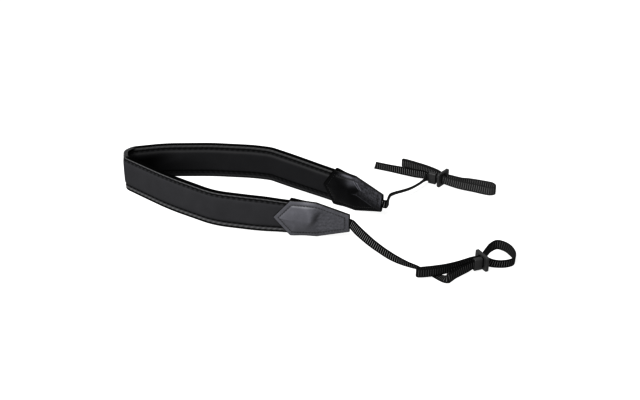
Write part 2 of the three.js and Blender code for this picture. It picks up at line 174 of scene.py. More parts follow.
# Leather tips
LEATHER = 1.2
LEATHER_GAP = 0.35
TIP_WIDTH = 43
TIP_SHOULDER_WIDTH = {"front": 41, "rear": 42.4}
TIP_END_WIDTH = {"front": 20.5, "rear": 21.3}
TIP_END_SLANT = {"front": 0, "rear": 0.08}  # the narrow end leans back by this share of its height
TIP_TAPER = 36
TIP_CORNER = 64.5
TIP_HEIGHT = TIP_WIDTH / 2
SEAM_LEAD = 4  # the band's sewn lines run this far under the leather
CHEVRON = {"outer": 18, "inner": 13}
CHEVRON_POINT = 1.6
TIP_SEAM_GAP = 0.2
TIP_RIM = 0.84
TIP_END_RIM = 0.6
TIP_STEP = 0.8
TIP_COLUMNS = 60
CLIMB_DEPTH = 37  # the leather climbs onto the padding round this depth
CLIMB_STEEP = 4.5  # and within this reach of it in the middle, and more gently near its edges
CLIMB_GENTLE = 11
CLIMB_UP = 3
CLIMB_SIDES = (2, 14)
TIP_STITCH_INSET = 4.6
TIP_END_STITCH = 5.0
TIP_PITCH = 3.2
TIP_STITCH = 2.4
TIP_GROOVE = 0.32
TIP_GROOVE_WIDTH = 0.6
TIP_GROOVE_START = 1  # the outline's groove fades in over this length at the end's groove
TIP_GROOVE_STOP = 0.8  # and that one fades out over this length at the outline's
FLAT_GROOVE = 0.35  # share of its depth that the groove has on the flat end
FLAT_GROOVE_FADE = (28, 42)
SHOULDER = 0.5  # the panel inside the sewn line starts with this step
SHOULDER_RISE = 2.2
DOME = 2.6
DOME_RISE = 16
DOME_LAG = 1  # the panel swells this far behind the climb
WRINKLE = 0.16
WRINKLE_LENGTH = 5
WRINKLE_FADE = (10, 26)
WRINKLE_INSET = (1, 5)
WRINKLE_SEED = {"front": 1.3, "rear": 4.1}
RIPPLE = 0.05
RIPPLE_LENGTH = 11
CUT_EDGE = 0.9
CUT_ROUNDING = 0.5
CUT_ROWS = (0.2, 0.5)  # added rows and columns of the mesh, for the rounded cut
CUT_COLUMN = 0.985
EDGE_BLACK = 0.8  # reach of the black of the cut edge, and the same along the top on the neck's side
EDGE_TOP_BLACK = 1.6
EDGE_TOP_FADE = (34, 40)
EDGE_FADE = 0.5

# Lines on the leather as pairs of depth and height: hollow at the foot of the outer padding, which gets
# painted shade, and the fold, the nose below it and the crease that bound the worn end on the neck's side
HOLLOW = ((37.5, 0.5), (32.5, 9))
HOLLOW_WIDTH = 2.4
HOLLOW_UP = 4.5
HOLLOW_HEIGHT = 5.5
WEAR_FOLD = ((29.2, 6.5), (35.3, 14.8))
WEAR_NOSE = ((37.2, 0), (29.2, 6.5))
WEAR_CREASE = ((10.4, -8), (37, 0.4))
# Worn end past those lines, lightened as painted reflection, and painted light on a strip of border above
FOLD_FADE = (-0.4, 1)
NOSE_FADE = (-0.4, 1.5)
CREASE_FADE = (-0.3, 0.7)
CREASE_WORN = 0.3  # share beside the crease, from which it grows
CREASE_GROWTH = (2, 11)
BORDER_FADE = 0.6
STRIP_LIGHT = 0.8
STRIP_END = (50, 62)
# Painted highlights: ridges along the fold, the crease, part of the strip, and spots on the panel and the
# end
Ridge = namedtuple("Ridge", "share past width")
RIDGES = [Ridge(0.7, -1, 0.7), Ridge(0.55, 1.4, 0.8)]
RIDGE_SPAN = (5, 9, 15, 17)
CREASE_HIGHLIGHT = 0.3
CREASE_WIDTH = 0.35
CREASE_SPAN = (9, 14, 36, 39)
STRIP_HIGHLIGHT = 0.45
STRIP_MIDDLE = 45
STRIP_LENGTH = 8
Spot = namedtuple("Spot", "share depth up length height")
PANEL_SPOT = Spot(0.38, 37.5, 13.5, 8, 4)
PANEL_SPOT_FADE = (-1, 0.5)
END_SPOT = Spot(0.4, 1.4, 5.5, 0.9, 2.5)

# Thread
PAD_THREAD = 0.45
TIP_THREAD = 0.32
THREAD_END = 0.55  # share of its thickness that a stitch has at its ends
THREAD_ARCH = 0.4
THREAD_SUNK = 0.12
THREAD_NUDGE = 0.1  # a step off the cloth, to find which way is out
THREAD_RINGS = 6
THREAD_SIDES = 6

# Webbing
WEB_WIDTH = 10
WEB = 1
WEB_GAP = 0.3
WEB_SEWN = 15
RIB_PITCH = 2.5
RIB_SAMPLES = 8
RIB_ENDS = (3.6, 4.1)
WEB_CORE = 0.28
WEB_RIB = 0.22
WEB_BEAD = 0.08
WEB_BEAD_AT = 4.4
WEB_BEAD_WIDTH = 0.35
WEB_SELVEDGE = (-0.05, 0.6)
WEB_ACROSS = [0, 1.25, 2.5, 3.4, 3.8, 4.1, 4.4, 4.7, 4.92, 5]
# How far the ribs' painted highlights are evened out to a flat grey, along the parts of each webbing's
# route
Levelling = namedtuple("Levelling", "incoming tuck loop turn back fold free")
RIB_LEVELLING = {
    "front": Levelling(0, 0.45, 0.1, 0.8, 0.4, 0.55, 0.3),
    "rear": Levelling(0, 0.45, 0.4, 0.5, 0.4, 0.3, 0.1),
}
# Flat grey that the ribs' painted highlights are evened out to, at each end
RIB_LEVEL_SHADE = {"front": 0.02, "rear": 0.055}
ROUTE_STEPS = 24
LEAN_SMOOTHING = 9
CUT_SLANT = 3.2
CUT_SLANT_LENGTH = 6

# Slides and keepers
SLIDE_HEIGHT = 17
SLIDE_ACROSS = 20.5
SLIDE_THICK = 3
SLIDE_BAR = 2.4
SLOT_ACROSS = 3.4
SLOT_HEIGHT = 10.8
SLIDE_CORNER = 2
SLOT_CORNER = 0.8
KEEPER_LENGTH = 9
KEEPER_WALL = 1.4
KEEPER_CORNER = 1.6
KEEPER_HOLE_CORNER = 0.5
KEEPER_FLARE = 0.5  # share of the outer rounding that its hole has
ROUNDING = 0.55
ROUNDING_STEPS = 5
CORNER_STEPS = 6

# Lanes of the strands through a slide, measured across from its middle bar
LANE_NEAR = SLIDE_BAR / 2 + WEB_GAP + WEB / 2
LANE_FAR = LANE_NEAR + WEB + WEB_GAP
KEEPER_LANE = (WEB + WEB_GAP) / 2
BAR_TURN = [60, 30, 0, -30, -60]  # places on the half turn round the middle bar, in degrees
FOLD_LEAD = 2.5
LOOP_LEAD = 1
KEEPER_LEAD = 1.2
LANE_INSET = 1

# The two ends of the strap: place and heading of each slide and keeper, and the webbing's free routes
# as rows of x, y, z and lean. The lean turns the webbing about its run, from on edge at 0 to flat at 90.
Holder = namedtuple("Holder", "x y z heading")
End = namedtuple("End", "slide keeper lean incoming tuck loop turn back fold free")
ENDS = {
    "front": End(
        slide=Holder(184.8, -62.9, 9, 28),
        keeper=Holder(179.6, -68.4, 8.6, 20),
        lean=180,
        incoming=[
            (52.2, -11.6, 21, -26), (58, -21, 19.4, -28), (65.1, -30, 17, -22), (72.7, -37.7, 14, -12),
            (80.4, -43.9, 11, -5), (88.9, -50.5, 8.2, -2), (98.4, -57, 6, 8), (109.9, -64.5, 4.9, 24),
            (118.5, -69.2, 4.5, 34), (126, -72.2, 3.1, 58),
        ],
        tuck=[
            (131.5, -74.6, 1.5, 80), (136.6, -78, 0.95, 90), (140.2, -81.6, 0.95, 92),
            (143.2, -85.2, 2.1, 104), (145.5, -88.2, 4, 130), (147.7, -89.4, 5.2, 156),
            (150.6, -87.9, 5.6, 168), (154.5, -84.4, 6, 171), (161.6, -79, 6.7, 170),
            (169, -74.5, 7.7, 174),
        ],
        loop=[(194.4, -64.6, 6.9, 185), (202, -64.2, 5.5, 188), (211.2, -62.8, 5.2, 184)],
        turn=[
            (218.6, -58.6, 5.4, 180), (220.7, -51.5, 5.9, 185), (218, -41.2, 6.8, 198),
            (213, -34.4, 7.6, 198),
        ],
        back=[
            (205.3, -30.9, 8, 197), (197.4, -36.9, 8.2, 193), (192, -45.4, 8.2, 191),
            (187.8, -53.4, 8.2, 192),
        ],
        fold=[
            (173.2, -65, 9.2, 188), (166, -67.9, 8.6, 187), (158, -71.2, 8.2, 184),
            (146, -75.6, 8.1, 181), (132, -79.6, 8.3, 184), (120.6, -82.1, 8.5, 186),
            (117, -82.6, 8.4, 186), (115.8, -83.7, 8.3, 180), (117, -84.8, 8.2, 176),
            (120.6, -84.8, 8.1, 176), (133, -82.8, 8, 178), (142, -79.8, 8, 180), (149, -77, 8, 180),
            (158.5, -72.9, 8.1, 178), (166.5, -69.5, 8.5, 174), (173.8, -66.5, 9, 174),
        ],
        free=[(167, -73.3, 7.9, 180), (158.5, -77.6, 7.7, 180), (150, -81.6, 7.5, 180)],
    ),
    "rear": End(
        slide=Holder(162.2, 113.8, 8.5, -40),
        keeper=Holder(150.6, 116.2, 7.2, -28),
        lean=0,
        incoming=[
            (88.5, 31.9, 20.9, 0), (90.7, 31.9, 20.6, 2), (92.3, 34.4, 20.1, -3), (94, 41.6, 19.2, -6),
            (95.8, 52, 17.5, 6), (99.8, 61, 16.4, 36), (106.9, 70.8, 13.6, 43), (115.6, 80.6, 10.7, 42),
            (123.1, 88.4, 9.1, 38), (132, 98.9, 8.2, 34),
        ],
        tuck=[(138.6, 108, 8, 26), (141.1, 114, 7.6, 14), (142.6, 117, 7.3, 3), (143.9, 118.3, 7.2, 0)],
        loop=[
            (172, 104.6, 7.3, -8), (181.1, 100.2, 6.7, -16), (197.9, 94.4, 5.8, -18),
            (207.4, 90.2, 5.5, -18),
        ],
        turn=[
            (214.2, 87.7, 5.5, -12), (219.7, 88.9, 5.6, -4), (220.8, 93.2, 5.8, 2),
            (217.8, 97.6, 6.1, 8),
        ],
        back=[(212.5, 99.4, 6.4, 14), (203, 102.2, 6.9, 14), (192.9, 105.2, 7.3, 8), (184, 108, 7.5, -10)],
        fold=[
            (156.5, 123, 9.3, 10), (150, 130, 9, 10), (143, 137.2, 8.4, 6), (134, 144.4, 8.1, 2),
            (126, 150, 8, 0), (120.8, 152.9, 8, 0), (118.1, 153.5, 8, 0), (117.3, 152.4, 8, 0),
            (119.3, 151.2, 8, 0), (125, 148.3, 8, 0), (133, 142.7, 8, 0), (141.8, 135.6, 8.3, -4),
            (148.7, 128.5, 8.8, -8), (154.7, 122, 9.1, -8),
        ],
        free=[
            (141, 123.2, 7.7, 8), (130.5, 128.3, 7, 12), (119.5, 133.6, 6.7, 6),
            (102.1, 142.1, 6.2, -6), (84.8, 150.9, 5.6, -5),
        ],
    ),
}

SIDES = {"outer": 1, "inner": -1}
SQUARE = [(1, 1), (-1, 1), (-1, -1), (1, -1)]  # corners in order, as signs of x and y
GOLDEN_ANGLE = math.pi * (3 - math.sqrt(5))
# Waves that make up an uneven field: lowest frequency and its steps, and steps of their phase
CRUMPLE_WAVES = 6
CRUMPLE_FREQUENCY = 0.7
CRUMPLE_FREQUENCY_STEP = 0.13
CRUMPLE_PHASE_STEP = 1.7
CRUMPLE_SEED_STEP = 3


def smooth(value, low, high):
    """Smooth step from 0 at low to 1 at high."""
    share = np.clip((np.asarray(value, float) - low) / (high - low), 0, 1)
    return share * share * (3 - 2 * share)


def fade(value, low, high):
    """Smooth step from 1 at low to 0 at high."""
    return 1 - smooth(value, low, high)


def plateau(value, start, full, fades, end):
    """1 between full and fades, with a smooth step on each side."""
    return smooth(value, start, full) * fade(value, fades, end)


def blend(a, b, share):
    return a + (b - a) * share


def bell(value, middle, width):
    """Round bump of height 1 at the middle."""
    return np.exp(-(((value - middle) / width) ** 2))


def crumple(x, y, wavelength, seed):
    """Smooth uneven field of about -1 to 1, from a few waves in different directions."""
    total = 0
    for k in range(CRUMPLE_WAVES):
        angle = seed + GOLDEN_ANGLE * k
        frequency = math.tau / wavelength * (CRUMPLE_FREQUENCY + CRUMPLE_FREQUENCY_STEP * k)
        phase = CRUMPLE_PHASE_STEP * k + CRUMPLE_SEED_STEP * seed
        total = total + np.sin(frequency * (x * math.cos(angle) + y * math.sin(angle)) + phase)
    return total / math.sqrt(CRUMPLE_WAVES)


def placed(points):
    """Plan millimetres to metres in the model's frame."""
    return (points - PLAN_CENTRE) * MM


def unit(vectors):
    return vectors / np.linalg.norm(vectors, axis=-1, keepdims=True)


# Middle line of the band

Run = namedtuple("Run", "start length x y heading turn")


def direction(heading):
    return np.array([math.cos(heading), math.sin(heading)])


def plan_runs():
    """Straight runs and bends of the band's middle line, from the rear tip to the front tip."""
    headings = [math.atan2(b.y - a.y, b.x - a.x) for a, b in zip(PLAN, PLAN[1:])]
    turns = [math.remainder(b - a, math.tau) for a, b in zip(headings, headings[1:])]
    runs = []
    start = 0.0
    at = np.array(PLAN[0][:2])
    for corner, heading, turn in zip(PLAN[1:], headings, [*turns, 0.0]):
        cut = corner.bend * math.tan(abs(turn) / 2)
        bend = corner.bend * abs(turn)
        length = math.dist(at, corner[:2]) - cut
        runs.append(Run(start, length, *at, heading, 0.0))
        if bend:
            runs.append(Run(start + length, bend, *(at + length * direction(heading)), heading, turn))
        start += length + bend
        at = np.array(corner[:2]) + cut * direction(heading + turn)
    return runs


RUNS = plan_runs()
RUN_COLUMNS = Run(*np.array(RUNS).T)
BENDS = [run for run in RUNS if run.turn]
BAND_LENGTH = RUNS[-1].start + RUNS[-1].length
LEAN_AT = [0, *(bend.start + bend.length / 2 for bend in BENDS), BAND_LENGTH]
FOLD_FROM = BENDS[FOLD_ROW - 1].start
FOLD_TO = BENDS[FOLD_ROW].start + BENDS[FOLD_ROW].length
FOLD_MIDDLE = (FOLD_FROM + FOLD_TO) / 2


def band_point(s, out, z):
    """Points of the band at distances s from the rear tip, out from its middle line and at heights z."""
    row = np.clip(np.searchsorted(RUN_COLUMNS.start, s, side="right") - 1, 0, len(RUNS) - 1)
    run = Run(*(column[row] for column in RUN_COLUMNS))
    along = s - run.start
    turned = run.turn * along / run.length
    chord = along * np.sinc(turned / math.tau)
    heading = run.heading + turned
    midway = heading - turned / 2
    behind = np.interp(s, LEAN_AT, [corner.lean for corner in PLAN]) * z / PAD_HEIGHT
    x = run.x + chord * np.cos(midway) + out * np.sin(heading)
    y = run.y + chord * np.sin(midway) - out * np.cos(heading) + behind
    return np.stack(np.broadcast_arrays(x, y, z), axis=-1)


def band_height(s):
    """Height of the band's middle line: the fold stands on the table, and the tips lift the rest."""
    arm_end = np.where(s < FOLD_MIDDLE, TIP_CORNER, BAND_LENGTH - TIP_CORNER)
    reach = np.abs(arm_end - FOLD_MIDDLE) - FOLD_FLAT
    share = np.clip((np.abs(s - FOLD_MIDDLE) - FOLD_FLAT) / reach, 0, 1)
    return blend(PAD_HEIGHT / 2, TIP_HEIGHT, share)


# Meshes

def linked(name, data):
    """New object in the scene."""
    item = bpy.data.objects.new(name, data)
    bpy.context.collection.objects.link(item)
    return item


def turn_out(mesh):
    """Turns all faces of a closed mesh outwards."""
    shape = bmesh.new()
    shape.from_mesh(mesh)
    bmesh.ops.recalc_face_normals(shape, faces=shape.faces)
    shape.to_mesh(mesh)
    shape.free()


def new_object(name, points, faces, material, attributes=None):
    """Smooth object from a closed mesh. Attributes give a number or a vector for each vertex."""
    mesh = bpy.data.meshes.new(name)
    mesh.from_pydata(placed(points).tolist(), [], faces)
    turn_out(mesh)
    for key, values in (attributes or {}).items():
        vector = values.ndim == 2
        layer = mesh.attributes.new(key, "FLOAT_VECTOR" if vector else "FLOAT", "POINT")
        layer.data.foreach_set("vector" if vector else "value", values.astype(np.float32).ravel())
    mesh.polygons.foreach_set("use_smooth", [True] * len(mesh.polygons))
    mesh.materials.append(material)
    mesh.update()
    return linked(name, mesh)


def ring_faces(rows, ring, capped=True):
    """Faces of a sweep of closed rings. Where it is capped, one face closes each of its ends."""
    i, j = np.meshgrid(np.arange(rows - 1), np.arange(ring), indexing="ij")
    after = (j + 1) % ring
    quads = np.stack([i * ring + j, i * ring + after, (i + 1) * ring + after, (i + 1) * ring + j], axis=-1)
    faces = quads.reshape(-1, 4).tolist()
    if capped:
        faces.append(list(range(ring))[::-1])
        faces.append(list(range((rows - 1) * ring, rows * ring)))
    return faces


def swept(name, rings, material, attributes):
    """Closed piece through an array of rings of points, rows by ring by 3."""
    rows, ring = rings.shape[:2]
    flat = {}
    for key, values in attributes.items():
        depth = values.shape[2:]
        flat[key] = np.broadcast_to(values, (rows, ring, *depth)).reshape(-1, *depth)
    return new_object(name, rings.reshape(-1, 3), ring_faces(rows, ring), material, flat)


def two_faced(front, back):
    """Rings round a strip, across its front and back again behind it."""
    return np.concatenate([front, back[:, ::-1]], axis=1)


def cloth_places(along, across):
    """Places on a flat cloth in millimetres, for weaves that follow the piece."""
    along, across = np.broadcast_arrays(along, across)
    return np.stack([along, across, np.zeros_like(along)], axis=-1)


def run_lengths(points):
    """Distance of each point of a line from its first, along the line."""
    return np.concatenate([[0], np.cumsum(np.linalg.norm(np.diff(points, axis=0), axis=1))])


def spline(points, steps):
    """Centripetal curve through points, with a number of steps between each two."""
    ends = (2 * points[0] - points[1], 2 * points[-1] - points[-2])
    knots = np.vstack([ends[0], points, ends[1]])
    gaps = np.sqrt(np.linalg.norm(np.diff(knots, axis=0), axis=1))[:, None]
    steepness = np.diff(knots, axis=0) / gaps
    chord = (knots[2:] - knots[:-2]) / (gaps[1:] + gaps[:-1])
    slope = steepness[:-1] + steepness[1:] - chord
    pieces = []
    for k in range(len(points) - 1):
        t = np.arange(steps)[:, None] / steps
        gap = gaps[k + 1]
        a, b = points[k], points[k + 1]
        u, v = slope[k] * gap, slope[k + 1] * gap
        pieces.append(a + u * t + (3 * (b - a) - 2 * u - v) * t**2 + (2 * (a - b) + u + v) * t**3)
    return np.vstack([*pieces, points[-1:]])


# Padded band

def pad_fullness(s):
    """Share of the full section that the band has; it thins where it is tucked into a tip."""
    return smooth(np.minimum(s, BAND_LENGTH - s), PAD_END, TIP_CORNER)


def pad_waist(s):
    """Share of the full height that the band has beside the tips."""
    rear = smooth(s - TIP_CORNER, 0, PAD_WAIST_REACH["rear"])
    front = smooth(BAND_LENGTH - TIP_CORNER - s, 0, PAD_WAIST_REACH["front"])
    return 1 - PAD_WAIST * (1 - rear * front)


def pad_crown(up, fullness):
    heights = [row.up for row in PAD_CROWN]
    full = np.interp(np.abs(up), heights, [row.full for row in PAD_CROWN])
    tucked = np.interp(np.abs(up), heights, [row.tucked for row in PAD_CROWN])
    return blend(tucked, full, fullness)


def pad_half_face(trim):
    """Heights and standoffs of the face from the middle line to its upper or lower edge."""
    groove = [Section(trim.groove + row.up, row.out) for row in GROOVE_FACE]
    edge = [Section(trim.rim + row.up, row.out) for row in EDGE_FACE]
    return spline(np.array([PAD_MIDDLE, *groove, *edge], float), PAD_FACE_STEPS)


def pad_face(face):
    """Heights and standoffs of the whole face of one half, from its lower to its upper edge."""
    lower = pad_half_face(TRIMS[face]["lower"])[:0:-1] * (-1, 1)
    whole = np.vstack([lower, pad_half_face(TRIMS[face]["upper"])])
    return whole[:, 0], whole[:, 1]


def trim_at(face, up):
    """The trim's values for each height: those of the upper or of the lower edge, by its sign."""
    edges = zip(TRIMS[face]["lower"], TRIMS[face]["upper"])
    return Trim(*(np.where(up < 0, lower, upper) for lower, upper in edges))


def stitch_wave(s, beyond):
    """1 beside the middle of each stitch of the band and -1 between stitches, slanting off the groove."""
    first = TIP_CORNER - SEAM_LEAD + PAD_PITCH / 2
    return np.cos(math.tau * (s - first + PUCKER_SLANT * np.maximum(beyond, 0)) / PAD_PITCH)


def pad_relief(face, s, up):
    """Puckers that the stitches pull into the border, and a slight unevenness of the foam."""
    trim = trim_at(face, up)
    height = np.abs(up)
    border = plateau(height, trim.groove, trim.groove + PUCKER_FADE, trim.rim - PUCKER_FADE, trim.rim)
    foam = FOAM_WAVE * fade(height, *FOAM_FADE) * crumple(s, up, FOAM_WAVELENGTH, FOAM_SEED)
    return foam - trim.pucker * border * stitch_wave(s, height - trim.groove)


def fold_share(s):
    """1 in the fold, where the band turns back."""
    return plateau(s, FOLD_FROM, FOLD_FROM + FOLD_EASE, FOLD_TO - FOLD_EASE, FOLD_TO + FOLD_OVERRUN)


def fold_painted_shade(s, up):
    """Share of painted shade, nearly black, in the depth of the fold."""
    from_fold = np.abs(s - FOLD_MIDDLE)
    shares = []
    for shade in FOLD_PAINTED_SHADES:
        shares.append(shade.share * fade(from_fold, *shade.along) * fade(up, *shade.up))
    return np.max(shares, axis=0)


def pad_shades(face, s, up, out):
    """Shares of black edge, painted groove shade and painted border light on one face of the band."""
    trim = trim_at(face, up)
    height = np.abs(up)
    wave = stitch_wave(s, height - trim.groove)
    dark_from = trim.groove - trim.reach
    groove = smooth(height - dark_from, *GROOVE_FADE)
    groove = groove * fade(height, trim.border - GROOVE_END, trim.border)
    # painted sheen where the cloth swells inside the groove
    painted_sheen = trim.shine * bell(height, dark_from - SHEEN_WIDTH, SHEEN_WIDTH)
    outside = smooth(height, trim.border - TRIM_FADE, trim.border + TRIM_FADE)
    # painted light on the border, with painted shade where the puckers dip
    border = trim.light * outside * (1 - PUCKER_SHADE * trim.pucker * (1 + wave))
    edge = smooth(height, trim.edge, trim.edge + TRIM_FADE)
    # At the fold the border's painted light rolls over: all of it on the outer face, its rim alone on the
    # inner
    in_fold = (up > 0) * fold_share(s)
    rim = outside
    if face == "inner":
        rim = smooth(height, trim.rim - RIM_STRIP, trim.rim) * fade(out, *RIM_OUT)
    edge = blend(edge, outside - rim, in_fold)
    # painted shade fills the depth of the fold on the inner face
    if face == "inner":
        edge = np.maximum(edge, fold_painted_shade(s, up))
    return {
        "edge": edge,
        "groove": groove * (GROOVE_SHADE + GROOVE_STITCH_SHADOW * wave),
        "border": blend(np.maximum(border, painted_sheen), RIM_LIGHT[face] * rim, in_fold),
    }


def pad_point(side, s, up, out):
    fullness = pad_fullness(s)
    tuck = blend(PAD_TUCKED_HEIGHT, 1, fullness) * pad_waist(s)
    tucked = pad_crown(up, 0) * np.minimum(1, out)
    standoff = np.maximum(blend(tucked, out, fullness), PAD_PARTING / 2)
    return band_point(s, side * standoff, band_height(s) + up * tuck)


def make_pad_half(name, face, material):
    face_up, face_out = pad_face(face)
    back_up = np.linspace(PAD_HEIGHT / 2, -PAD_HEIGHT / 2, PAD_BACK_ROWS + 2)[1:-1]
    up = np.concatenate([face_up, back_up])[None, :]
    out = np.concatenate([face_out, np.full(len(back_up), PAD_PARTING / 2)])[None, :]
    on_face = np.concatenate([np.ones(len(face_up)), np.zeros(len(back_up))])[None, :]
    count = round((BAND_LENGTH - 2 * PAD_END) / PAD_STEP)
    s = np.linspace(PAD_END, BAND_LENGTH - PAD_END, count)[:, None]
    rings = pad_point(SIDES[face], s, up, out + on_face * pad_relief(face, s, up))
    attributes = {"cloth": cloth_places(s, up)}
    for key, shares in pad_shades(face, s, up, out).items():
        attributes[key] = shares * on_face
    return swept(name, rings, material, attributes)


# Thread

def make_stitches(name, lines, thread, material):
    """Stitches of several lines, joined. A line is its length, pitch, stitch length and place function."""
    points = []
    faces = []
    share = np.linspace(0, 1, THREAD_RINGS)
    arch = np.sin(math.pi * share)
    height = THREAD_ARCH * arch - THREAD_SUNK
    radius = thread * blend(THREAD_END, 1, arch)
    turn = np.arange(THREAD_SIDES) / THREAD_SIDES * math.tau
    one = ring_faces(THREAD_RINGS, THREAD_SIDES)
    for length, pitch, stitch, place in lines:
        for start in np.arange((pitch - stitch) / 2, length - stitch, pitch):
            along = start + share * stitch
            middle = place(along, height)
            out = unit(place(along, height + THREAD_NUDGE) - middle)
            across = unit(np.cross(np.gradient(middle, axis=0), out))
            round_it = np.cos(turn)[:, None] * out[:, None] + np.sin(turn)[:, None] * across[:, None]
            base = len(points) * THREAD_RINGS * THREAD_SIDES
            points.append((middle[:, None] + radius[:, None, None] * round_it).reshape(-1, 3))
            faces.extend([base + corner for corner in face] for face in one)
    return new_object(name, np.vstack(points), faces, material)


def pad_stitch_lines(face):
    """The two sewn lines of one half of the band, between the leather tips."""
    first = TIP_CORNER - SEAM_LEAD
    depth = min(row.out for row in GROOVE_FACE)

    def line(up):
        def place(along, height):
            return pad_point(SIDES[face], first + along, np.full_like(along, up), depth + height)

        return BAND_LENGTH - 2 * first, PAD_PITCH, PAD_STITCH, place

    return [line(TRIMS[face]["upper"].groove), line(-TRIMS[face]["lower"].groove)]


# Leather tips

Tip = namedtuple("Tip", "end face")


def tip_corners(tip):
    """Corners of a tip's upper half outline, as pairs of depth and half width."""
    return [
        (0, TIP_END_WIDTH[tip.end] / 2),
        (TIP_TAPER, TIP_SHOULDER_WIDTH[tip.end] / 2),
        (TIP_CORNER, TIP_WIDTH / 2),
        (TIP_CORNER + CHEVRON[tip.face], CHEVRON_POINT / 2),
    ]


def tip_edges(tip):
    """Straight edges of that outline, each as its slope and its half width at depth 0."""
    corners = tip_corners(tip)
    edges = []
    for (d0, w0), (d1, w1) in zip(corners, corners[1:]):
        slope = (w1 - w0) / (d1 - d0)
        edges.append((slope, w0 - slope * d0))
    return edges


def tip_half_width(tip, d):
    depths, half_widths = zip(*tip_corners(tip))
    return np.interp(d, depths, half_widths)


def tip_inset(tip, d, up):
    """Distance of a place on a tip from the edges of its outline, its narrow end left out."""
    insets = [(width + slope * d - np.abs(up)) / math.hypot(1, slope) for slope, width in tip_edges(tip)]
    return np.min(insets, axis=0)


def tip_climb(d, up):
    """How far the leather has climbed onto the padding, whose end is round."""
    reach = blend(CLIMB_STEEP, CLIMB_GENTLE, smooth(np.abs(up - CLIMB_UP), *CLIMB_SIDES))
    return smooth(d, CLIMB_DEPTH - reach, CLIMB_DEPTH + reach)


def past_line(d, up, line):
    """Distance of places on a tip from a line through two of them, positive on its left."""
    start, end = line
    run = np.subtract(end, start) / math.dist(start, end)
    return run[0] * (up - start[1]) - run[1] * (d - start[0])


# Round painted highlight on a tip
def highlight_spot(d, up, spot):
    return spot.share * bell(d, spot.depth, spot.length) * bell(up, spot.up, spot.height)


def tip_wear_and_highlights(tip, d, up):
    """Shares of worn leather and of painted highlight: its flat end, and on the neck's side a crease and a
    fold.
    """
    if tip.face == "outer":
        return 1 - tip_climb(d, up), np.zeros_like(d + up)
    # On the neck's side the worn end is lightened as painted reflection, and its top strip gets painted
    # light
    border = fade(tip_inset(tip, d, up), TIP_STITCH_INSET - BORDER_FADE, TIP_STITCH_INSET)
    strip = (up > 0) * border * fade(d, *STRIP_END)
    past_fold = past_line(d, up, WEAR_FOLD)
    past_crease = past_line(d, up, WEAR_CREASE)
    zone = np.maximum(smooth(past_fold, *FOLD_FADE), smooth(past_line(d, up, WEAR_NOSE), *NOSE_FADE))
    growth = blend(CREASE_WORN, 1, smooth(past_crease, *CREASE_GROWTH))
    retoned = zone * smooth(past_crease, *CREASE_FADE) * growth
    ridges = sum(ridge.share * bell(past_fold, ridge.past, ridge.width) for ridge in RIDGES)
    panel = highlight_spot(d, up, PANEL_SPOT) * fade(past_fold, *PANEL_SPOT_FADE) * (1 - border)
    marks = [
        ridges * plateau(up, *RIDGE_SPAN),
        panel,
        CREASE_HIGHLIGHT * bell(past_crease, 0, CREASE_WIDTH) * plateau(d, *CREASE_SPAN),
        STRIP_HIGHLIGHT * strip * bell(d, STRIP_MIDDLE, STRIP_LENGTH),
        highlight_spot(d, up, END_SPOT),
    ]
    return np.maximum(retoned, STRIP_LIGHT * strip), np.max(marks, axis=0)


def tip_standoff(tip, d, up):
    """How far the leather's inner face stands off the parting plane."""
    share = np.abs(up) / tip_half_width(tip, d)
    fullness = smooth(d, PAD_END, TIP_CORNER)
    flat = blend(WEB / 2 + WEB_GAP, TIP_SEAM_GAP, smooth(share, TIP_END_RIM, 1))
    on_pad = pad_crown(up, fullness) + LEATHER_GAP
    climbed = blend(flat, on_pad, tip_climb(d, up))
    pinch = smooth(share, TIP_RIM, 1) * fade(d, PAD_END, TIP_CORNER - LEATHER)
    return blend(climbed, TIP_SEAM_GAP, pinch)


def tip_grooves(tip, d, up):
    """Depth of a tip's sewn lines: across its narrow end, and round its outline, shallow where flat."""
    inset = tip_inset(tip, d, up)
    outline = bell(inset, TIP_STITCH_INSET, TIP_GROOVE_WIDTH)
    outline = outline * smooth(d, TIP_END_STITCH - TIP_GROOVE_START, TIP_END_STITCH)
    across = bell(d, TIP_END_STITCH, TIP_GROOVE_WIDTH)
    across = across * smooth(inset, TIP_STITCH_INSET - TIP_GROOVE_STOP, TIP_STITCH_INSET)
    return np.maximum(outline * blend(FLAT_GROOVE, 1, smooth(d, *FLAT_GROOVE_FADE)), across)


def tip_painted_shade(tip, d, up):
    """Share of painted shade: in the sewn lines, and in the hollow at the foot of the outer padding."""
    sewn = tip_grooves(tip, d, up)
    if tip.face == "inner":
        return sewn
    hollow = bell(past_line(d, up, HOLLOW), 0, HOLLOW_WIDTH) * bell(up, HOLLOW_UP, HOLLOW_HEIGHT)
    return np.maximum(sewn, hollow)


def tip_black(tip, d, up):
    """Share of black along the cut edge."""
    topmost = (tip.face == "inner") * (up > 0) * smooth(d, *EDGE_TOP_FADE)
    reach = blend(EDGE_BLACK, EDGE_TOP_BLACK, topmost)
    return fade(np.minimum(tip_inset(tip, d, up), d), reach - EDGE_FADE, reach)


